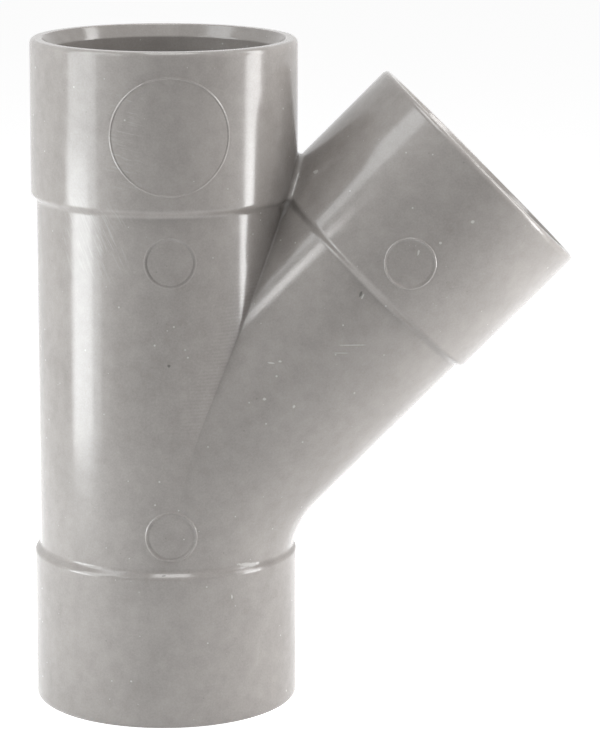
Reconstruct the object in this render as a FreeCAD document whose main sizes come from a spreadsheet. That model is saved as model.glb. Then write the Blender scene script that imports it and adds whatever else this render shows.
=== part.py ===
import FreeCAD, Part
import math
import os
import Sketcher
from FreeCAD import Placement, Rotation, Vector

# A 45 degree lateral wye fitting, moulded in one piece, with three sockets for glued pipe.
# The run stands along Z on its lower mouth. The branch rises towards +X in the XZ plane.

node = "wye_body"

# Driving sizes, in millimetres and degrees
driving_sizes = {
    "socket_radius": 20.1,      # inside of a socket, where the pipe sits
    "socket_depth": 26.0,       # from a mouth to the ledge
    "ledge": 1.0,               # how far the ledge stands in from the socket, to stop the pipe
    "wall": 3.2,
    "lower_stop": 14.0,         # from the crossing of the axes down to the lower ledge
    "upper_stop": 52.0,         # from the crossing up to the upper ledge
    "branch_stop": 52.5,        # from the crossing to the branch's ledge
    "branch_angle": 45.0,
    "sweep_radius": 38.0,       # centre line of the bend that leads the run into the branch
    "lead_in_depth": 2.1,       # taper inside each mouth
    "lead_in_width": 1.1,
    "rim_bevel_width": 0.8,     # outer edge of each mouth
    "rim_bevel_depth": 1.1,
    "shoulder_lap": 1.0,        # how far a socket's outside reaches past its ledge
    "shoulder_length": 1.0,     # slope from a socket's outside down to the waterway's
}

facing_back = Rotation(Vector(0, 1, 0), 180)    # a section drawn on the -X side of its axis
upside_down = Rotation(Vector(0, 0, 1), 180)
full_turn = 360


class Size:
    """A length: its value now, and the sheet expression that it follows."""

    def __init__(self, text, value):
        self.text = text
        self.value = value

    def __add__(self, other):
        return Size(f"({self.text} + {other.text})", self.value + other.value)

    def __sub__(self, other):
        return Size(f"({self.text} - {other.text})", self.value - other.value)


def size(name):
    return Size(f"sizes.{name}", driving_sizes[name])


zero = Size("0", 0.0)
crossing = size("lower_stop") + size("socket_depth")
socket_outside = size("socket_radius") + size("wall")
waterway_radius = size("socket_radius") - size("ledge")
waterway_outside = waterway_radius + size("wall")
half_turn_tangent = math.tan(math.radians(driving_sizes["branch_angle"] / 2))
bend_reach = Size(
    "(sizes.sweep_radius * tan(sizes.branch_angle / 2))",
    driving_sizes["sweep_radius"] * half_turn_tangent,
)


def make_sheet(document):
    sheet = document.addObject("Spreadsheet::Sheet", "sizes")
    for row, (name, value) in enumerate(driving_sizes.items(), start=1):
        sheet.set(f"A{row}", name)
        sheet.set(f"B{row}", str(value))
        sheet.setAlias(f"B{row}", name)
    document.recompute()


def new_sketch(body, name, role, turn):
    """A sketch on one of the body's own origin planes, turned within it."""
    sketch = body.newObject("Sketcher::SketchObject", name)
    plane = next(part for part in body.Origin.OriginFeatures if part.Role == role)
    sketch.AttachmentSupport = [(plane, "")]
    sketch.MapMode = "FlatFace"
    sketch.AttachmentOffset = Placement(Vector(), turn)
    return sketch


def add_size(sketch, kind, references, length):
    """A dimension in a sketch that follows the sheet."""
    index = sketch.addConstraint(Sketcher.Constraint(kind, *references, length.value))
    sketch.setExpression(f"Constraints[{index}]", length.text)


def place_corner(sketch, side, across, along):
    """Hold the start of a side at its distances from the sketch's two axes."""
    for length, kind, axis in ((across, "DistanceX", -2), (along, "DistanceY", -1)):
        if length is zero:
            sketch.addConstraint(Sketcher.Constraint("PointOnObject", side, 1, axis))
        else:
            add_size(sketch, kind, (-1, 1, side, 1), length)


def draw_outline(sketch, corners):
    """A closed outline of straight sides through the corners."""
    points = [Vector(across.value, along.value, 0) for across, along in corners]
    count = len(corners)
    for side in range(count):
        sketch.addGeometry(Part.LineSegment(points[side], points[(side + 1) % count]))
    for side, (across, along) in enumerate(corners):
        sketch.addConstraint(Sketcher.Constraint("Coincident", side, 1, (side - 1) % count, 2))
        place_corner(sketch, side, across, along)


def outside_half(stop):
    """Outside of a leg in half section, from its shoulder's foot out to its mouth."""
    mouth = stop + size("socket_depth")
    shoulder = stop - size("shoulder_lap")
    return [
        (waterway_outside, shoulder - size("shoulder_length")),
        (socket_outside, shoulder),
        (socket_outside, mouth - size("rim_bevel_depth")),
        (socket_outside - size("rim_bevel_width"), mouth),
        (zero, mouth),
    ]


def inside_half(stop):
    """Bore of a leg in half section, from its ledge out to its mouth."""
    mouth = stop + size("socket_depth")
    return [
        (waterway_radius, stop),
        (size("socket_radius"), stop),
        (size("socket_radius"), mouth - size("lead_in_depth")),
        (size("socket_radius") + size("lead_in_width"), mouth),
        (zero, mouth),
    ]


def below(half):
    """The same half section, turned over to lead down from the crossing of the axes."""
    return [(across, zero - along) for across, along in reversed(half)]


def from_start(start, half):
    """The half section of a leg that begins with a flat end at its start."""
    return [(zero, start), (half[0][0], start)] + half


def add_turned(body, name, kind, sketch, axis):
    """Turn a sketch right round an axis, to add to the body or to cut from it."""
    feature = body.newObject(kind, name)
    feature.Profile = sketch
    feature.ReferenceAxis = (sketch, [axis])
    feature.Angle = full_turn
    sketch.Visibility = False
    return feature


def turn_leg(body, name, kind, corners, turn):
    """One leg turned about its own axis, which starts where the three axes cross."""
    sketch = new_sketch(body, f"{name}_section", "XZ_Plane", turn)
    sketch.setExpression("AttachmentOffset.Base.y", crossing.text)
    draw_outline(sketch, corners)
    add_turned(body, name, kind, sketch, "V_Axis")


def turn_bend(body, name, radius):
    """The round section led from the run's axis to the branch's on the sweep radius."""
    sketch = new_sketch(body, f"{name}_section", "XY_Plane", upside_down)
    sketch.setExpression("AttachmentOffset.Base.z", (crossing - bend_reach).text)
    ring = sketch.addGeometry(Part.Circle(Vector(), Vector(0, 0, 1), radius.value))
    sketch.addConstraint(Sketcher.Constraint("Coincident", ring, 3, -1, 1))
    add_size(sketch, "Radius", (ring,), radius)
    sweep = size("sweep_radius")
    hinge = Vector(-sweep.value, 0, 0)
    line = sketch.addGeometry(Part.LineSegment(hinge, hinge + Vector(0, sweep.value, 0)), True)
    sketch.addConstraint(Sketcher.Constraint("PointOnObject", line, 1, -1))
    sketch.addConstraint(Sketcher.Constraint("Vertical", line))
    add_size(sketch, "DistanceX", (line, 1, -1, 1), sweep)
    add_size(sketch, "DistanceY", (line, 1, line, 2), sweep)
    feature = add_turned(body, name, "PartDesign::Revolution", sketch, "Axis0")
    feature.setExpression("Angle", "sizes.branch_angle")
    feature.Reversed = True


def make_wye(document):
    body = document.addObject("PartDesign::Body", node)
    body.Label = node
    body.Placement = Placement(Vector(), Rotation())
    tilt = Rotation(Vector(0, 0, -1), driving_sizes["branch_angle"])
    lower, upper, branch = size("lower_stop"), size("upper_stop"), size("branch_stop")

    solid = "PartDesign::Revolution"
    run = below(outside_half(lower)) + outside_half(upper)
    turn_leg(body, "run", solid, run, facing_back)
    turn_bend(body, "bend", waterway_outside)
    turn_leg(body, "branch", solid, from_start(bend_reach, outside_half(branch)), tilt)

    # The core of the branch is drawn out straight, so inside it meets the run with no bend
    hollow = "PartDesign::Groove"
    run_bore = below(inside_half(lower)) + inside_half(upper)
    turn_leg(body, "run_bore", hollow, run_bore, facing_back)
    turn_leg(body, "branch_bore", hollow, from_start(zero, inside_half(branch)), tilt)
    document.recompute()
    return body


def check(document, body):
    for thing in document.Objects:
        if "Invalid" in thing.State or "Error" in thing.State:
            raise RuntimeError(f"{thing.Name} failed: {thing.State}")
    if body.Shape.isNull() or not body.Shape.isValid() or len(body.Shape.Solids) != 1:
        raise RuntimeError(f"{body.Label} is not one sound solid")


document = FreeCAD.newDocument("lateral_wye")
make_sheet(document)
wye = make_wye(document)
check(document, wye)
os.makedirs("parts", exist_ok=True)
wye.Shape.exportStep(f"parts/{wye.Label}.step")
print(f"{wye.Label}: {wye.Shape.Volume:.1f} mm3, {len(wye.Shape.Faces)} faces")
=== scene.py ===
import bmesh
import bpy
import math
from mathutils import Matrix, Vector


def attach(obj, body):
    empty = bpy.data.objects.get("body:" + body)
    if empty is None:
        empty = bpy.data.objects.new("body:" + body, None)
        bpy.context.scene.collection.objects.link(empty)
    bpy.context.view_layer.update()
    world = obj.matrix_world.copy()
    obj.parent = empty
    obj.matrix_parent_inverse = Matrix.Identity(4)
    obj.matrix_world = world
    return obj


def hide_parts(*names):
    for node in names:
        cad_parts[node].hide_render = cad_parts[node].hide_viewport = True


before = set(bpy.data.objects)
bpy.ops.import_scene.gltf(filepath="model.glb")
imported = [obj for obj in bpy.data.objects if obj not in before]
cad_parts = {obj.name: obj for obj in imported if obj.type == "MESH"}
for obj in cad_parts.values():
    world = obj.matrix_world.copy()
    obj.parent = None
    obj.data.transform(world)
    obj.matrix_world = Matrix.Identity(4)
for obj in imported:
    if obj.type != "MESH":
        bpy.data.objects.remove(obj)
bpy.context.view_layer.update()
mm = 0.001

# The moulding, in millimetres. A leg is measured from the point where the axes cross.
wye = {
    "crossingHeight": 40.0,
    "socketRadius": 20.1,
    "ledge": 1.0,
    "wall": 3.2,
    "socketDepth": 26.0,
    "lowerStop": 14.0,
    "upperStop": 52.0,
    "branchStop": 52.5,
    "sweepRadius": 38.0,
    "leadInDepth": 2.1,
    "leadInWidth": 1.1,
    "rimMiddle": 1.2,          # from the outside to the line where the two skins meet on the rim
    "rimRoundWidth": 0.85,
    "rimRoundDepth": 1.15,
    "shoulderLap": 1.0,
    "shoulderLength": 1.0,
    "shoulderRound": 0.42,
    "footRound": 0.42,
    "innerRound": 0.18,
    "creaseRound": 0.3,        # where the branch's body meets the run's
    "notchRound": 0.8,         # where the two sockets meet above it
    "coreRound": 0.35,         # edge inside, where the branch's bore meets the run's
    "notchEnds": 27.35,        # degrees round a leg where the crease steps down from the sockets
    "creaseStarts": 28.45,     # and where it has reached the bodies
    "seamLift": 1.3,           # where the bend's seam starts, in foot rounds above the foot
    # how finely the skin is laid
    "columnStep": 1.25,        # degrees round a leg
    "notchFineness": 8,        # times more columns than elsewhere where the crease steps down
    "elbowColumns": 26,        # where the crease runs out into the bend
    "elbowLast": 0.075,        # square root of the last such column's cosine
    "creaseSteps": 10,
    "lineSteps": 3,
    "bendSteps": 22,
    "cornerSteps": 5,
    "weld": 0.006,             # points nearer than this are joined
    "sliver": 0.0005,          # edges shorter than this are taken out
    "halvings": 40,            # in the search for the bend's foot
}

halfAngle = math.radians(22.5)
branchAngle = 2 * halfAngle
outSocket = wye["socketRadius"] + wye["wall"]
inBody = wye["socketRadius"] - wye["ledge"]
outBody = inBody + wye["wall"]
sweep = wye["sweepRadius"]
bendReach = sweep * math.tan(halfAngle)
crotchPlane = Vector((math.cos(halfAngle), 0, -math.sin(halfAngle)))
heelPlane = Vector((math.sin(halfAngle), 0, math.cos(halfAngle)))
tiny = 1e-6


def turned(angle):
    return Vector((math.cos(angle), math.sin(angle), 0))


def mirrored(column, plane):
    # the same column on the other leg, with its points in reverse
    return [
        (p - 2 * p.dot(plane) * plane, n - 2 * n.dot(plane) * plane)
        for p, n in reversed(column)
    ]


def softCorner(corner, before, after, steps):
    # points of a corner rounded between two tangent points, with the direction at each
    points = []
    for k in range(steps + 1):
        u = k / steps
        here = (1 - u) ** 2 * before + 2 * u * (1 - u) * corner + u ** 2 * after
        along = (1 - u) * (corner - before) + u * (after - corner)
        points.append((here, along.normalized()))
    return points


def halfSection(corners, side):
    # (distance, radius) corners with their roundings -> (distance, radius, normal) points
    points = []
    last = len(corners) - 1
    for k, (spot, roundBefore, roundAfter) in enumerate(corners):
        if k in (0, last):
            other = corners[1][0] if k == 0 else corners[last - 1][0]
            along = (other - spot) if k == 0 else (spot - other)
            points.append((spot, along.normalized()))
            continue
        before = spot + (corners[k - 1][0] - spot).normalized() * roundBefore
        after = spot + (corners[k + 1][0] - spot).normalized() * roundAfter
        points += softCorner(spot, before, after, wye["cornerSteps"])
    return [(p, side * Vector((along.y, -along.x))) for p, along in points]


def outsideSection(stop):
    mouth = stop + wye["socketDepth"]
    shoulder = stop - wye["shoulderLap"]
    foot = shoulder - wye["shoulderLength"]
    flat = (Vector((mouth, outSocket - wye["rimMiddle"])), 0, 0)
    rim = (Vector((mouth, outSocket)), wye["rimRoundWidth"], wye["rimRoundDepth"])
    edge = (Vector((shoulder, outSocket)), wye["shoulderRound"], wye["shoulderRound"])
    base = (Vector((foot, outBody)), wye["footRound"], wye["footRound"])
    end = (Vector((foot - 1, outBody)), 0, 0)
    return halfSection([flat, rim, edge, base, end], 1)[:-1]


def insideSection(stop):
    mouth = stop + wye["socketDepth"]
    small = wye["innerRound"]
    flat = (Vector((mouth, outSocket - wye["rimMiddle"])), 0, 0)
    edge = (Vector((mouth, wye["socketRadius"] + wye["leadInWidth"])), small, small)
    lead = (Vector((mouth - wye["leadInDepth"], wye["socketRadius"])), small, small)
    floor = (Vector((stop, wye["socketRadius"])), small, small)
    lip = (Vector((stop, inBody)), small, small)
    end = (Vector((stop - 1, inBody)), 0, 0)
    return halfSection([flat, edge, lead, floor, lip, end], -1)[:-1]


upperOutside, upperInside = outsideSection(wye["upperStop"]), insideSection(wye["upperStop"])
branchOutside, branchInside = outsideSection(wye["branchStop"]), insideSection(wye["branchStop"])
lowerOutside, lowerInside = outsideSection(wye["lowerStop"]), insideSection(wye["lowerStop"])


def onLeg(section, angle, up=1):
    # a half section's points at an angle round the run, up or down from the crossing
    return [
        (turned(angle) * p.y + Vector((0, 0, up * p.x)), turned(angle) * n.y + Vector((0, 0, up * n.x)))
        for p, n in section
    ]


def between(first, second, steps):
    # points on a straight line of the surface, without its two ends
    return [(first[0].lerp(second[0], k / steps), first[1]) for k in range(1, steps)]


def cutAt(section, distance):
    # the half section down to this distance, with the rest gathered in its last point
    kept = []
    for k, (p, n) in enumerate(section):
        if p.x >= distance:
            kept.append((p, n))
            continue
        if kept and kept[-1][0].x > distance:
            p0, n0 = kept[-1]
            share = (p0.x - distance) / (p0.x - p.x)
            spot = (p0.lerp(p, share), n0.lerp(n, share).normalized())
        else:
            spot = kept[-1]
        return kept + [spot] * (len(section) - k), spot
    p, n = section[-1]
    return kept, (Vector((distance, p.y)), n)


def filletArc(first, second, plane):
    # round a crease off from one contact to the other, on a ball that rolls in the plane
    arc = []
    balls = []
    for contact, normal in (first, second):
        radius = -contact.dot(plane) / normal.dot(plane)
        balls.append((contact + radius * normal, radius))
    for k in range(1, wye["creaseSteps"]):
        share = k / wye["creaseSteps"]
        normal = first[1].slerp(second[1], share)
        centre = balls[0][0].lerp(balls[1][0], share)
        radius = balls[0][1] * (1 - share) + balls[1][1] * share
        arc.append((centre - radius * normal, normal))
    return arc


def onBend(theta, angle):
    # a point of the bend's outside, and its normal
    reach = sweep + outBody * math.cos(angle)
    aside = outBody * math.sin(angle)
    p = Vector((sweep - reach * math.cos(theta), aside, reach * math.sin(theta) - bendReach))
    n = Vector((-math.cos(angle) * math.cos(theta), math.sin(angle), math.cos(angle) * math.sin(theta)))
    return p, n


def bendColumn(start, angle):
    steps = wye["bendSteps"]
    return [onBend(start + (branchAngle - start) * k / steps, angle) for k in range(steps + 1)]


# where the bend runs into the lower socket's shoulder
lowerFoot = wye["lowerStop"] - wye["shoulderLap"] - wye["shoulderLength"]


def footAngle(angle):
    slope = wye["shoulderLength"] / wye["ledge"]
    low, high = 0.0, branchAngle
    for _ in range(wye["halvings"]):
        theta = (low + high) / 2
        p, _n = onBend(theta, angle)
        above = p.z + lowerFoot + (Vector((p.x, p.y)).length - outBody) * slope
        low, high = (low, theta) if above > 0 else (theta, high)
    return low


footHeight = wye["footRound"] - lowerFoot
joint = Vector((0, outBody, footHeight))


def seamColumn():
    # the bend's outside halfway round it, from the joint where the crease runs out
    side = math.pi / 2
    steps = wye["bendSteps"] - 1
    start = footAngle(side) + wye["seamLift"] * wye["footRound"] / sweep
    rest = [onBend(start + (branchAngle - start) * k / steps, side) for k in range(steps + 1)]
    return [(joint, Vector((0, 1, 0)))] + rest


elbowCosine = sweep / (outBody + wye["creaseRound"]) * math.tan(halfAngle) ** 2
elbowStart = math.acos(elbowCosine)
socketEnds = math.radians(wye["notchEnds"])
bodyStarts = math.radians(wye["creaseStarts"])


def spread(first, last, step):
    count = max(1, round(abs(last - first) / math.radians(step)))
    return [first + (last - first) * k / count for k in range(count + 1)]


def crotchAngles():
    # closer together where the crease steps down, and where it runs out into the bend
    step = wye["columnStep"]
    angles = spread(0, socketEnds, step)[:-1]
    angles += spread(socketEnds, bodyStarts, step / wye["notchFineness"])[:-1]
    angles += spread(bodyStarts, elbowStart, step)[:-1]
    first, last, count = math.sqrt(elbowCosine), wye["elbowLast"], wye["elbowColumns"]
    angles += [math.acos((first + (last - first) * k / count) ** 2) for k in range(count + 1)]
    return angles + [math.pi / 2]


def creaseDistance(angle, reach):
    return reach * math.cos(angle) / math.tan(halfAngle)


def creaseContact(angle):
    # how far up the run the fillet of the crease touches it
    notch = outSocket + wye["notchRound"]
    crease = outBody + wye["creaseRound"]
    if angle <= socketEnds:
        return creaseDistance(angle, notch)
    if angle < bodyStarts:
        share = (angle - socketEnds) / (bodyStarts - socketEnds)
        share = share * share * (3 - 2 * share)
        above, below = creaseDistance(socketEnds, notch), creaseDistance(bodyStarts, crease)
        return above * (1 - share) + below * share
    return creaseDistance(angle, crease)


def cutLeg(section, angle):
    # a leg from its mouth to where it meets the crease
    kept, spot = cutAt(section, creaseContact(angle))
    column = onLeg(kept, angle)
    contact = onLeg([spot], angle)[0]
    return column + between(column[-1], contact, wye["lineSteps"]) + [contact]


def crotchColumn(angle):
    # from the upper mouth down the run, through the crease and out along the branch to its mouth
    if angle <= elbowStart + tiny:
        run = cutLeg(upperOutside, angle)
        branch = mirrored(cutLeg(branchOutside, angle), crotchPlane)
        arc = filletArc(run[-1], branch[0], crotchPlane)
        return run + arc + [branch[0]] * (wye["bendSteps"] + 1) + branch[1:]
    if angle > math.pi / 2 - tiny:
        contact = (joint, Vector((0, 1, 0)))
        arc = [contact] * (wye["creaseSteps"] - 1)
        bend = seamColumn()
    else:
        ballReach = (outBody + wye["creaseRound"]) * math.cos(angle)
        theta = 2 * math.atan(math.sqrt(ballReach / sweep))
        height = (sweep + ballReach) * math.sin(theta) - bendReach
        contact = (turned(angle) * outBody + Vector((0, 0, height)), turned(angle))
        bend = bendColumn(theta, angle)
        centre = contact[0] + wye["creaseRound"] * contact[1]
        steps = wye["creaseSteps"]
        arc = [contact[1].slerp(bend[0][1], k / steps) for k in range(1, steps)]
        arc = [(centre - wye["creaseRound"] * n, n) for n in arc]
    run = onLeg(upperOutside, angle)
    run += between(run[-1], contact, wye["lineSteps"])
    branch = mirrored(onLeg(branchOutside, angle), crotchPlane)
    return run + [contact] + arc + bend + between(bend[-1], branch[0], wye["lineSteps"]) + branch


def backColumn(angle):
    # the side of the run away from the branch, from its upper mouth to its lower one
    upper = onLeg(upperOutside, angle)
    lower = onLeg(lowerOutside, angle, -1)[::-1]
    middle = (turned(angle) * outBody + Vector((0, 0, footHeight)), turned(angle))
    lower = [middle] + lower[1:]
    return upper + between(upper[-1], middle, wye["lineSteps"]) + lower


def roundedFoot(corner, last):
    # from the bend's last point round the foot of the lower shoulder and down onto its slope
    aside = Vector((corner.x, corner.y, 0)).normalized()
    slope = (aside * wye["ledge"] - Vector((0, 0, wye["shoulderLength"]))).normalized()
    outward = (aside * wye["shoulderLength"] + Vector((0, 0, wye["ledge"]))).normalized()
    steps = wye["cornerSteps"]
    spots = softCorner(corner, last[0], corner + slope * wye["footRound"], steps)
    return [(spots[k][0], last[1].slerp(outward, k / steps)) for k in range(1, steps + 1)]


def heelColumn(angle):
    # the underside of the branch, from its mouth round the bend and down to the lower mouth
    branch = mirrored(onLeg(branchOutside, angle), crotchPlane)[::-1]
    lower = onLeg(lowerOutside, math.pi - angle, -1)[::-1]
    if angle < math.pi / 2 + tiny:
        bend = seamColumn()[::-1]
    else:
        hit = footAngle(angle)
        start = hit + wye["footRound"] / (sweep + outBody * math.cos(angle))
        bend = bendColumn(start, angle)[::-1]
        lower[1:wye["cornerSteps"] + 1] = roundedFoot(onBend(hit, angle)[0], bend[-1])
    return branch + between(branch[-1], bend[0], wye["lineSteps"]) + bend + lower[1:]


def coreEdge(first, second, plane):
    # the rounded edge where one bore breaks into another, which is nothing where they only touch
    if first[0].dot(plane) > -100 * tiny:
        return [first] * (wye["creaseSteps"] - 1)
    arc = filletArc((first[0], -first[1]), (second[0], -second[1]), plane)
    return [(p, -n) for p, n in arc]


def cutBore(section, angle, reach, up=1):
    # a bore from its mouth to where it breaks into the other
    column = onLeg(section, angle, up)
    contact = (turned(angle) * inBody + Vector((0, 0, up * reach)), -turned(angle))
    return column + between(column[-1], contact, wye["lineSteps"]) + [contact]


def boreCrotchColumn(angle):
    reach = (inBody + wye["coreRound"]) * math.cos(angle) / math.tan(halfAngle)
    run = cutBore(upperInside, angle, reach)
    branch = mirrored(cutBore(branchInside, angle, reach), crotchPlane)
    return run + coreEdge(run[-1], branch[0], crotchPlane) + branch


def boreBackColumn(angle):
    upper = onLeg(upperInside, angle)
    lower = onLeg(lowerInside, angle, -1)[::-1]
    middle = (turned(angle) * inBody, -turned(angle))
    column = upper + between(upper[-1], middle, wye["lineSteps"]) + [middle]
    return column + between(middle, lower[0], wye["lineSteps"]) + lower


def boreHeelColumn(angle):
    around = math.pi - angle
    reach = (inBody + wye["coreRound"]) * math.cos(around) * math.tan(halfAngle)
    lower = cutBore(lowerInside, around, reach, -1)
    other = mirrored([lower[-1]], heelPlane)[0]
    branch = mirrored(onLeg(branchInside, angle), crotchPlane)[::-1]
    branch += between(branch[-1], other, wye["lineSteps"]) + [other]
    return branch + coreEdge(lower[-1], other, heelPlane)[::-1] + lower[::-1]


def layColumns(grid, outwards, build, angles):
    # quads between each column and the next, on both sides of the plane of symmetry
    for side in (1, -1):
        rows = []
        for angle in angles:
            points = build(angle)
            row = []
            for p, n in points:
                vertex = grid.verts.new((p.x * mm, side * p.y * mm, (p.z + wye["crossingHeight"]) * mm))
                vertex[outwards] = (n.x, side * n.y, n.z)
                row.append(vertex)
            rows.append(row)
        for first, second in zip(rows, rows[1:]):
            for k in range(len(first) - 1):
                corners = [first[k], first[k + 1], second[k + 1], second[k]]
                grid.faces.new(corners if side > 0 else corners[::-1])


def makeSkin():
    # the whole surface, inside and out, with the normals of the true shapes
    grid = bmesh.new()
    outwards = grid.verts.layers.float_vector.new("outward")
    crotch, back = crotchAngles(), spread(math.pi / 2, math.pi, wye["columnStep"])
    for build, angles in (
        (crotchColumn, crotch), (backColumn, back), (heelColumn, back),
        (boreCrotchColumn, crotch), (boreBackColumn, back), (boreHeelColumn, back),
    ):
        layColumns(grid, outwards, build, angles)
    print("skin laid:", len(grid.verts), "points")
    bmesh.ops.remove_doubles(grid, verts=grid.verts, dist=wye["weld"] * mm)
    bmesh.ops.dissolve_degenerate(grid, edges=grid.edges, dist=wye["sliver"] * mm)
    bmesh.ops.recalc_face_normals(grid, faces=grid.faces)
    openEdges = sum(len(edge.link_faces) != 2 for edge in grid.edges)
    print("skin welded:", len(grid.verts), "points,", len(grid.faces), "faces,", openEdges, "open edges")
    normals = [Vector(vertex[outwards]).normalized() for vertex in grid.verts]
    grid.verts.layers.float_vector.remove(outwards)
    skin = bpy.data.meshes.new("wyeSkin")
    grid.to_mesh(skin)
    grid.free()
    skin.shade_smooth()
    skin.normals_split_custom_set_from_vertices(normals)
    return skin


wyeSkin = bpy.data.objects.new("wyeSkin", makeSkin())
bpy.context.scene.collection.objects.link(wyeSkin)
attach(wyeSkin, "root")
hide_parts("wye_body")


marks = {
    # round marks of the mould on the front: leg, middle up the leg, middle across it, radius,
    # the leg's outside there, half the width of the raised line and its height
    "plateRing": ("run", 103.74, 0.19, 10.0, outSocket, 0.25, 0.095),
    "upperPinRing": ("run", 82.12, 0.18, 4.36, outBody, 0.18, 0.045),
    "lowerPinRing": ("run", 34.21, 0.18, 4.30, outBody, 0.27, 0.140),
    "branchPinRing": ("branch", 58.55, -0.63, 4.30, outSocket, 0.25, 0.130),
}
# outline of the raised line: share of its half width, share of its height, and millimetres sunk
beadSide = [(-1.3, 0, 0.03), (-1, 0, 0.004), (-0.75, 0.146, 0), (-0.5, 0.5, 0), (-0.25, 0.854, 0)]
beadOutline = beadSide + [(0, 1, 0)] + [(-t, h, sunk) for t, h, sunk in reversed(beadSide)] + [(0, 0, 0.12)]
ringSteps = {"least": 96, "perMillimetre": 16}
alongBranch = Vector((math.sin(branchAngle), 0, math.cos(branchAngle)))
acrossBranch = Vector((math.cos(branchAngle), 0, -math.sin(branchAngle)))


def ontoLeg(leg, spot):
    # a spot (across the leg, depth, along the leg) in the part's frame, in metres
    if leg == "run":
        return spot * mm
    crossing = Vector((0, 0, wye["crossingHeight"]))
    return (crossing + spot.x * acrossBranch + Vector((0, spot.y, 0)) + spot.z * alongBranch) * mm


def frontOf(leg, outside, x, z):
    # the skin's front at this place on a leg: a point in the leg's own frame and its normal
    depth = math.sqrt(outside ** 2 - x ** 2)
    point, normal = Vector((x, -depth, z)), Vector((x, -depth, 0)) / outside
    aside, above = sweep - x, z - wye["crossingHeight"] + bendReach
    lean = math.atan2(above, aside)
    inward = sweep - math.hypot(aside, above)
    if leg == "branch" or not 0 < lean < branchAngle or abs(inward) >= outBody:
        return point, normal
    bendDepth = math.sqrt(outBody ** 2 - inward ** 2)
    if bendDepth <= depth:
        return point, normal
    middle = Vector((sweep - sweep * math.cos(lean), 0, z - above + sweep * math.sin(lean)))
    point.y = -bendDepth
    return point, (point - middle) / outBody


def raisedRing(name, leg, along, across, radius, outside, halfWidth, height):
    # a low bead that runs round a circle as the mould's insert leaves it, seated in the skin
    grid = bmesh.new()
    steps = max(ringSteps["least"], round(radius * ringSteps["perMillimetre"]))
    turns = [2 * math.pi * k / steps for k in range(steps)]
    places = [
        frontOf(leg, outside, across + radius * math.cos(turn), along + radius * math.sin(turn))
        for turn in turns
    ]
    loops = []
    for k, (point, normal) in enumerate(places):
        tangent = (places[(k + 1) % steps][0] - places[k - 1][0]).normalized()
        aside = normal.cross(tangent)
        loops.append([
            grid.verts.new(ontoLeg(leg, point + aside * halfWidth * t + normal * (height * h - sunk)))
            for t, h, sunk in beadOutline
        ])
    sides = len(beadOutline)
    for k in range(steps):
        first, second = loops[k], loops[(k + 1) % steps]
        for j in range(sides):
            n = (j + 1) % sides
            grid.faces.new((first[j], first[n], second[n], second[j]))
    bmesh.ops.recalc_face_normals(grid, faces=grid.faces)
    mesh = bpy.data.meshes.new(name)
    grid.to_mesh(mesh)
    grid.free()
    mesh.shade_smooth()
    ring = bpy.data.objects.new(name, mesh)
    bpy.context.scene.collection.objects.link(ring)
    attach(ring, "root")
    return ring


rings = [raisedRing(name, *mark) for name, mark in marks.items()]
print("mould marks raised:", len(rings))


coolLight, plainLight = (0.955, 0.985, 1.0), (1.0, 1.0, 1.0)

studio = {
    # each soft box: its foot and head in metres, its width, its power in watts and its colour
    "softBoxes": {
        "leftBox": ((-0.2118, -0.0621, 0.0), (-0.2095, -0.0702, 0.45), 0.110, 0.63, coolLight),
        "rightBox": ((0.2495, -0.0702, 0.0), (0.2599, -0.0084, 0.33), 0.072, 0.66, plainLight),
        "leftSoft": ((-0.1965, -0.1390, 0.0), (-0.1965, -0.1390, 0.45), 0.060, 0.05, coolLight),
        "leftLow": ((-0.2164, -0.0417, 0.0), (-0.2164, -0.0417, 0.07), 0.09, 0.11, coolLight),
        "rightLow": ((0.2495, -0.0702, 0.0), (0.2495, -0.0702, 0.07), 0.07, 0.075, plainLight),
        "rightSoft": ((0.2278, -0.120, 0.0), (0.2278, -0.120, 0.33), 0.085, 0.06, plainLight),
        "smallBox": ((-0.1616, -0.148, 0.2114), (-0.1404, -0.148, 0.2326), 0.032, 0.034, plainLight),
        "topBox": ((0.02, -0.18, 0.45), (0.02, 0.05, 0.45), 0.16, 0.68, plainLight),
    },
    "lookAt": (0.02, 0.0, 0.08),
    "airLevel": 0.055,           # light from all round
    "floorColour": (0.9, 0.9, 0.9),
    "floorGlow": 0.91,           # added where the floor is seen, so that it is white there
    "floorReach": 3.0,
}


def softBox(name, foot, head, width, power, colour):
    # a lamp as tall as from its foot to its head, turned about that line to face the fitting
    foot, head = Vector(foot), Vector(head)
    upright = (head - foot).normalized()
    facing = Vector(studio["lookAt"]) - (foot + head) / 2
    facing = (facing - facing.dot(upright) * upright).normalized()
    lamp = bpy.data.lights.new(name, "AREA")
    lamp.shape = "RECTANGLE"
    lamp.size = width
    lamp.size_y = (head - foot).length
    lamp.energy = power
    lamp.color = colour
    box = bpy.data.objects.new(name, lamp)
    place = Matrix((upright.cross(-facing), upright, -facing)).transposed().to_4x4()
    place.translation = (foot + head) / 2
    box.matrix_world = place
    bpy.context.scene.collection.objects.link(box)


for name, box in studio["softBoxes"].items():
    softBox(name, *box)


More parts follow.
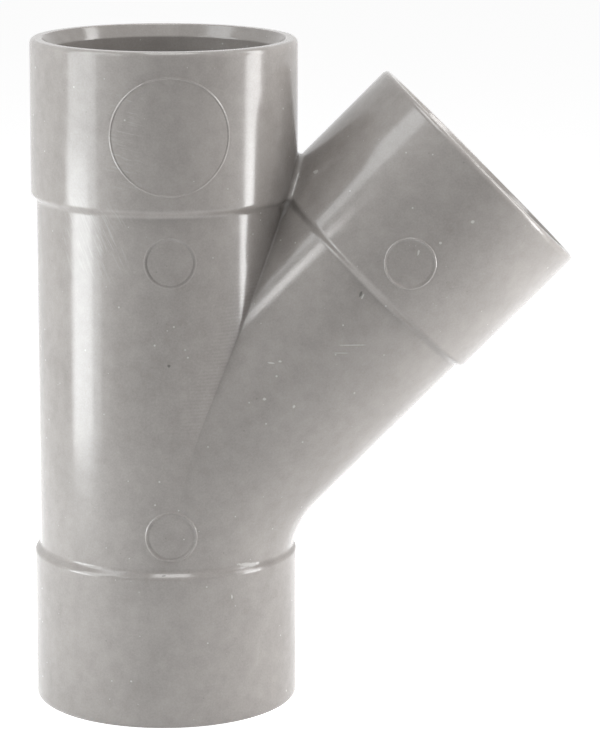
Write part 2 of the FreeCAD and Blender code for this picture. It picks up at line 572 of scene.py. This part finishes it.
class Wire:
    # an output socket that can be used in sums
    def __init__(self, tree, socket):
        self.tree = tree
        self.socket = socket

    def __add__(self, other):
        return maths("ADD", self, other)

    def __radd__(self, other):
        return maths("ADD", other, self)

    def __sub__(self, other):
        return maths("SUBTRACT", self, other)

    def __rsub__(self, other):
        return maths("SUBTRACT", other, self)

    def __mul__(self, other):
        return maths("MULTIPLY", self, other)

    def __rmul__(self, other):
        return maths("MULTIPLY", other, self)

    def __truediv__(self, other):
        return maths("DIVIDE", self, other)

    def __pow__(self, other):
        return maths("POWER", self, other)

    def atMost(self, other):
        return maths("MINIMUM", self, other)

    def atLeast(self, other):
        return maths("MAXIMUM", self, other)

    def rise(self, low, high):
        # 0 below low, 1 above high, smooth between; falls from 1 to 0 where low is the greater
        falls = low > high
        return addNode(self.tree, "ShaderNodeMapRange", {"interpolation_type": "SMOOTHSTEP"}, {
            "Value": self, "From Min": min(low, high), "From Max": max(low, high),
            "To Min": 1.0 if falls else 0.0, "To Max": 0.0 if falls else 1.0,
        })["Result"]


class Made:
    # a node that was added: its outputs are taken by name or number
    def __init__(self, tree, node):
        self.tree = tree
        self.node = node

    def __getitem__(self, name):
        return Wire(self.tree, self.node.outputs[name])


def addNode(tree, kind, settings=None, values=None):
    made = tree.nodes.new(kind)
    for name, value in (settings or {}).items():
        setattr(made, name, value)
    for name, value in (values or {}).items():
        slot = made.inputs[name]
        if isinstance(value, Wire):
            tree.links.new(value.socket, slot)
        else:
            slot.default_value = value
    return Made(tree, made)


def maths(operation, first, second=0.0):
    # a Math node on two values, at least one of them a wire
    tree = first.tree if isinstance(first, Wire) else second.tree
    return addNode(tree, "ShaderNodeMath", {"operation": operation}, {0: first, 1: second})[0]


def seenDirectly(tree):
    # 1 for the camera's rays and for what gloss or glass shows
    path = addNode(tree, "ShaderNodeLightPath")
    return path["Is Camera Ray"].atLeast(path["Is Glossy Ray"]).atLeast(path["Is Transmission Ray"])


def freshTree(owner):
    owner.use_nodes = True
    owner.node_tree.nodes.clear()
    return owner.node_tree


def makeAir():
    world = bpy.data.worlds.new("studioAir")
    bpy.context.scene.world = world
    tree = freshTree(world)
    lit = addNode(tree, "ShaderNodeBackground", None, {"Color": (1, 1, 1, 1), "Strength": studio["airLevel"]})
    white = addNode(tree, "ShaderNodeBackground", None, {"Color": (1, 1, 1, 1), "Strength": 1.0})
    both = addNode(tree, "ShaderNodeMixShader", None, {0: seenDirectly(tree), 1: lit[0], 2: white[0]})
    addNode(tree, "ShaderNodeOutputWorld", None, {"Surface": both[0]})


def makeFloor():
    reach = studio["floorReach"]
    sheet = bpy.data.meshes.new("floor")
    corners = [(-reach, -reach, 0), (reach, -reach, 0), (reach, reach, 0), (-reach, reach, 0)]
    sheet.from_pydata(corners, [], [(0, 1, 2, 3)])
    floor = bpy.data.objects.new("floor", sheet)
    bpy.context.scene.collection.objects.link(floor)
    paint = bpy.data.materials.new("paleFloor")
    tree = freshTree(paint)
    card = addNode(tree, "ShaderNodeBsdfDiffuse", None, {"Color": (*studio["floorColour"], 1)})
    glow = addNode(tree, "ShaderNodeEmission", None, {
        "Color": (1, 1, 1, 1), "Strength": studio["floorGlow"] * seenDirectly(tree),
    })
    both = addNode(tree, "ShaderNodeAddShader", None, {0: card[0], 1: glow[0]})
    addNode(tree, "ShaderNodeOutputMaterial", None, {"Surface": both[0]})
    sheet.materials.append(paint)


makeAir()
makeFloor()
print("studio lit")

plastic = {
    "darkGrey": (0.285, 0.264, 0.248, 1),
    "lightGrey": (0.380, 0.355, 0.336, 1),
    "rubbed": (0.56, 0.55, 0.53, 1),         # scuffs, scratches and dust
    # dark marks: dirt specks, and the painted shade inside nicks
    "dirt": (0.115, 0.108, 0.10, 1),
    # clouds in the grey: size in millimetres, detail, twist, how far they shade it and how far they
    # change its roughness
    "clouds": {
        "broad": (13.0, 3.0, 0.6, 1.0, 0.06),
        "middle": (2.4, 2.0, 0.0, 1.0, 0.04),
        "fine": (0.30, 2.0, 0.0, 0.9, 0.03),
    },
    "roughness": 0.155,
    "leastRoughness": 0.08,
    "rubbedRoughness": {"scuffs": 0.30, "dust": 0.35},       # added where it is rubbed
    # unevenness of the moulded surface: size, detail and height, in millimetres
    "waves": (17.0, 0.0, 0.060),
    "peel": (1.7, 1.0, 0.0032),
    "grain": 0.0005,                         # height of the fine clouds
    # scuffs on the run: a window round it, as left, right, low, high and its soft edge, then the rubs' lean
    # in degrees, length, thickness and the noise from which they show, and how strongly they show
    "scuffs": {
        "underShoulder": ((-21.0, -8.0, 80.0, 91.5, 3.5), (-62, 4.5, 0.36, -0.02), 0.30),
        "besidePlate": ((-10.5, -5.0, 95.0, 112.0, 1.5), (-12, 3.2, 0.46, 0.02), 0.20),
    },
    "strayRubs": {"rubs": (-35, 7.0, 0.22, 0.27), "cloud": 9.0, "from": (0.05, 0.2), "strength": 0.30},
    "rubNoise": {"depth": 60, "twist": 0.25, "soft": 0.2},   # shared by all rubs
    "specks": {
        "spacing": 1.7, "radius": 0.066, "swell": 2.0,       # the swell makes some larger than the radius
        "share": 0.66, "moreOnBranch": 0.06,                 # of the places that have one
        "cloud": 11.0, "cloudStrength": 0.8,
        "pale": (0.45, 0.5),                                 # chance from which one is pale
        "dustStrength": 0.75, "pitStrength": 0.35, "dirtStrength": 0.8,
    },
    # painted shade with grain in it, down the middle of the run's front: windows as for the scuffs, and noise
    # as size, detail and strength
    "smudge": {
        "window": (-8.0, 9.0, 48.0, 82.0, 6.0), "strength": 0.34, "even": 0.55,
        "noises": ((3.5, 3.0, 1.2), (0.55, 2.0, 1.6)),
    },
    # where they begin and where they are full: below and above, and short of the crease
    "toolLines": {
        "pitch": 0.62, "wander": 2.2, "wanderSize": 5.0, "shade": 0.12, "height": 0.0006,
        "short": (-6.5, -1.0), "crease": (0.0, -0.3), "below": (48.0, 56.0), "above": (84.0, 74.0),
    },
    # the height of the shoulder's edge, its half depth, and round the run where it grows more ragged
    "flash": {
        "along": 27.6, "reach": (1.3, 0.3), "size": 0.9, "height": 0.010, "moreAtRight": 0.034,
        "rightFrom": (2.0, 9.0), "rightTo": (22.0, 16.0),
    },
    # what the ejector pins left: leg, middle up the leg, middle across it, radius and depth
    "pinDishes": {
        "upperPin": ("run", 82.12, 0.18, 4.12, 0.20),
        "lowerPin": ("run", 34.21, 0.18, 4.05, 0.15),
        "branchPin": ("branch", 58.55, -0.63, 4.05, 0.06),
    },
    # single marks on the front: x, z, half its width, half its height, and a lean in degrees
    "rubs": {
        "longScratch": (31.2, 67.65, 2.3, 0.075, 1),
        "shortScratch": (29.3, 66.3, 1.2, 0.06, 2),
        "nickEdge": (32.95, 76.1, 0.13, 0.50, 25),
        "notchNick": (25.8, 95.7, 0.42, 0.20, -30),
        "branchSpeckHigh": (51.5, 89.0, 0.30, 0.26, 0),
        "branchSpeckMiddle": (46.0, 85.4, 0.24, 0.20, 0),
        "pinStar": (42.3, 83.8, 0.16, 0.50, 10),
        "bodySpeckHigh": (17.3, 64.6, 0.55, 0.13, 5),
        "bodySpeckRight": (18.9, 64.9, 0.25, 0.16, 0),
        "bodySpeckLow": (16.2, 58.4, 0.26, 0.22, 0),
        "bodyChips": (21.3, 57.0, 0.20, 0.28, 20),
        "socketChip": (10.7, 23.0, 0.12, 0.36, 0),
        "shoulderRub": (13.6, 28.0, 1.7, 0.30, 12),
    },
    # dark marks: painted shade inside two nicks, where the dent gets no light, and one dark speck
    "darkSpots": {
        "nickPaintedShade": (32.6, 76.5, 0.20, 0.55, 25),
        "runSpeck": (-0.1, 64.4, 0.26, 0.24, 0),
        "shoulderNickPaintedShade": (-1.2, 27.5, 0.35, 0.12, 0),
    },
    "raggedness": (0.35, 1.1),               # of those marks' edges: its size, and how far it goes
    "markEdge": (1.25, 0.75),                # of a mark, in its half sizes
    "dishEdge": (0.1, -0.3),                 # of a dish, past its radius
}


def mixed(tree, share, first, second):
    # a colour between two, by a share that changes over the surface
    return addNode(tree, "ShaderNodeMix", {"data_type": "RGBA"}, {0: share, 6: first, 7: second})[2]


def noise(tree, where, size, detail=2.0, twist=0.0):
    # cloudy noise about 0, with features of this size where the place is in millimetres
    made = addNode(tree, "ShaderNodeTexNoise", None, {
        "Vector": where, "Scale": 1 / size, "Detail": detail, "Roughness": 0.55, "Distortion": twist,
    })
    return made[0] - 0.5


class Place:
    # where a point of the surface lies, in millimetres, on the run and on the branch
    def __init__(self, tree):
        self.tree = tree
        metres = addNode(tree, "ShaderNodeTexCoord")["Object"]
        scaled = addNode(tree, "ShaderNodeVectorMath", {"operation": "SCALE"}, {0: metres, "Scale": 1 / mm})
        self.spot = scaled[0]
        parts = addNode(tree, "ShaderNodeSeparateXYZ", None, {0: self.spot})
        self.x, self.y, self.z = parts["X"], parts["Y"], parts["Z"]
        above = self.z - wye["crossingHeight"]
        self.alongBranch = self.x * math.sin(branchAngle) + above * math.cos(branchAngle)
        self.acrossBranch = self.x * math.cos(branchAngle) - above * math.sin(branchAngle)
        self.pastCrease = self.x * math.cos(halfAngle) - above * math.sin(halfAngle)
        self.onRun = self.pastCrease.rise(0.0, -1.0)
        self.front = self.y.rise(0.0, -2.0)
        self.round = maths("ARCTAN2", self.x, 0 - self.y) * outSocket      # round the run, 0 at its front

    def onLeg(self, leg):
        return (self.x, self.z) if leg == "run" else (self.acrossBranch, self.alongBranch)


def dishes(place):
    # depth in millimetres of the round faces that the ejector pins left
    depth = 0.0
    for leg, along, across, radius, deep in plastic["pinDishes"].values():
        u, v = place.onLeg(leg)
        reach = ((u - across) * (u - across) + (v - along) * (v - along)) ** 0.5
        outer, inner = plastic["dishEdge"]
        depth = depth + reach.rise(radius + outer, radius + inner) * deep
    return depth * place.front


def spots(place, listed):
    # 1 inside any of the single marks
    found = 0.0
    size, strength = plastic["raggedness"]
    ragged = noise(place.tree, place.spot, size) * strength
    for x, z, halfWidth, halfHeight, lean in listed.values():
        turn = math.radians(lean)
        u = ((place.x - x) * math.cos(turn) - (place.z - z) * math.sin(turn)) / halfWidth
        v = ((place.x - x) * math.sin(turn) + (place.z - z) * math.cos(turn)) / halfHeight
        mark = ((u * u + v * v) ** 0.5 + ragged).rise(*plastic["markEdge"])
        found = mark.atLeast(found)
    return found * place.front


def strokes(place, lean, length, thickness, least):
    # thin straight rubs at a lean, where noise that is drawn out along them is high
    shared = plastic["rubNoise"]
    turn = math.radians(lean)
    along = place.round * math.cos(turn) + place.z * math.sin(turn)
    across = place.z * math.cos(turn) - place.round * math.sin(turn)
    where = addNode(place.tree, "ShaderNodeCombineXYZ", None, {
        "X": along / length, "Y": across / thickness, "Z": place.y / shared["depth"],
    })[0]
    return noise(place.tree, where, 1.0, 2.0, shared["twist"]).rise(least, least + shared["soft"])


def window(place, left, right, low, high, soft):
    # 1 in a soft-edged window on the run, in millimetres round it from the front and up it
    sides = place.round.rise(left - soft, left + soft) * place.round.rise(right + soft, right - soft)
    return sides * place.z.rise(low - soft, low + soft) * place.z.rise(high + soft, high - soft)


def scuffs(place):
    # rubs beside the left highlight, steep under the shoulder and flat beside the plate, and a few strays
    found = 0.0
    for edges, rubs, strength in plastic["scuffs"].values():
        found = found + window(place, *edges) * strokes(place, *rubs) * strength
    stray = plastic["strayRubs"]
    cloudy = noise(place.tree, place.spot, stray["cloud"]).rise(*stray["from"])
    return found * place.onRun * place.front + strokes(place, *stray["rubs"]) * cloudy * stray["strength"]


def specks(place):
    # specks of two kinds in a loose scatter, more of them on the branch: pale chips and dark pits
    sizes = plastic["specks"]
    cells = addNode(place.tree, "ShaderNodeTexVoronoi", None, {
        "Vector": place.spot, "Scale": 1 / sizes["spacing"],
    })
    chance = addNode(place.tree, "ShaderNodeSeparateColor", None, {0: cells["Color"]})
    cloud = noise(place.tree, place.spot, sizes["cloud"]) * sizes["cloudStrength"]
    crowded = place.pastCrease.rise(-2.0, 4.0) * sizes["moreOnBranch"] + cloud + sizes["share"]
    chosen = (chance["Red"] - (1 - crowded)).rise(0.0, 0.01)
    swollen = chance["Green"] * chance["Green"] * sizes["swell"] + 1.0
    size = swollen * (sizes["radius"] / sizes["spacing"])
    speck = (cells["Distance"] / size).rise(1.2, 0.5) * chosen
    pale = chance["Blue"].rise(*sizes["pale"])
    return speck * pale, speck * (1 - pale)


def smudge(place):
    # a grainy patch down the middle of the run, darker on the whole: painted shade where the front lies
    # between the side lamps, with grain in it
    shadeAndGrain = plastic["smudge"]
    strength = shadeAndGrain["even"]
    for size, detail, share in shadeAndGrain["noises"]:
        strength = strength + noise(place.tree, place.spot, size, detail) * share
    edges = window(place, *shadeAndGrain["window"]) * place.pastCrease.rise(0.0, -3.0) * place.front
    return edges * strength * shadeAndGrain["strength"]


def toolLines(place):
    # fine level lines that the cutter left in the mould, just on the run's side of the crease
    lines = plastic["toolLines"]
    beside = place.pastCrease.rise(*lines["short"]) * place.pastCrease.rise(*lines["crease"])
    middle = place.z.rise(*lines["below"]) * place.z.rise(*lines["above"])
    wander = noise(place.tree, place.spot, lines["wanderSize"]) * lines["wander"]
    phase = place.z * (2 * math.pi / lines["pitch"]) + wander
    return maths("SINE", phase) * beside * middle * place.front


def shoulderFlash(place):
    # the lower shoulder's edge is a little ragged, most of all right of its middle
    flash = plastic["flash"]
    band = maths("ABSOLUTE", place.z - flash["along"]).rise(*flash["reach"])
    right = place.round.rise(*flash["rightFrom"]) * place.round.rise(*flash["rightTo"])
    height = flash["height"] + flash["moreAtRight"] * right
    return band * height * noise(place.tree, place.spot, flash["size"]) * place.front


def makePlastic():
    paint = bpy.data.materials.new("greyPvc")
    tree = freshTree(paint)
    place = Place(tree)
    clouds = {
        name: noise(tree, place.spot, size, detail, twist)
        for name, (size, detail, twist, _shade, _rough) in plastic["clouds"].items()
    }
    lines = toolLines(place)
    worn = scuffs(place)
    chips, pits = specks(place)
    strengths = plastic["specks"]
    dust = chips.atLeast(spots(place, plastic["rubs"]))
    # dark specks, and the painted shade inside the nicks
    dark = (pits * strengths["pitStrength"]).atLeast(spots(place, plastic["darkSpots"]))

    # the middle patch takes painted shade, with grain, off the grey
    shade = 0.5 + lines * plastic["toolLines"]["shade"] - smudge(place)
    rough = plastic["roughness"] + worn * plastic["rubbedRoughness"]["scuffs"]
    rough = rough + dust * plastic["rubbedRoughness"]["dust"]
    for name, (_size, _detail, _twist, shading, roughening) in plastic["clouds"].items():
        shade = shade + clouds[name] * shading
        rough = rough + clouds[name] * roughening
    colour = mixed(tree, shade.atLeast(0.0).atMost(1.0), plastic["darkGrey"], plastic["lightGrey"])
    colour = mixed(tree, worn, colour, plastic["rubbed"])
    colour = mixed(tree, dust * strengths["dustStrength"], colour, plastic["rubbed"])
    colour = mixed(tree, dark * strengths["dirtStrength"], colour, plastic["dirt"])

    height = clouds["fine"] * plastic["grain"] + lines * plastic["toolLines"]["height"]
    for size, detail, high in (plastic["waves"], plastic["peel"]):
        height = height + noise(tree, place.spot, size, detail) * high
    height = height + shoulderFlash(place) - dishes(place)
    bump = addNode(tree, "ShaderNodeBump", None, {"Strength": 1.0, "Distance": mm, "Height": height})
    shell = addNode(tree, "ShaderNodeBsdfPrincipled", None, {
        "Base Color": colour, "Roughness": rough.atLeast(plastic["leastRoughness"]), "Normal": bump[0],
    })
    addNode(tree, "ShaderNodeOutputMaterial", None, {"Surface": shell[0]})
    return paint


pvc = makePlastic()
for piece in [wyeSkin] + rings:
    piece.data.materials.append(pvc)
print("plastic finished:", len(pvc.node_tree.nodes), "nodes")

view = {
    # the photo's angle: degrees round from the front and up, metres from the target, degrees of roll
    "turn": -4.186,
    "rise": 12.035,
    "distance": 0.60733,
    "target": (0.023914, 0.0, 0.058502),
    "roll": 0.215,
    "lens": 165.945,           # millimetres, as the sensor's height is
    "sensorHeight": 36,
}


def placeCamera():
    turn, rise, roll = (math.radians(view[name]) for name in ("turn", "rise", "roll"))
    back = Vector((math.sin(turn) * math.cos(rise), -math.cos(turn) * math.cos(rise), math.sin(rise)))
    right = Vector((math.cos(turn), math.sin(turn), 0))
    up = back.cross(right)
    across = math.cos(roll) * right + math.sin(roll) * up
    upright = math.cos(roll) * up - math.sin(roll) * right
    lens = bpy.data.cameras.new("camera")
    lens.sensor_fit = "VERTICAL"
    lens.sensor_height = view["sensorHeight"]
    lens.lens = view["lens"]
    camera = bpy.data.objects.new("camera", lens)
    place = Matrix((across, upright, back)).transposed().to_4x4()
    place.translation = Vector(view["target"]) + view["distance"] * back
    camera.matrix_world = place
    bpy.context.scene.collection.objects.link(camera)
    bpy.context.scene.camera = camera


placeCamera()
bpy.context.scene.view_settings.view_transform = "Standard"
print("camera placed")
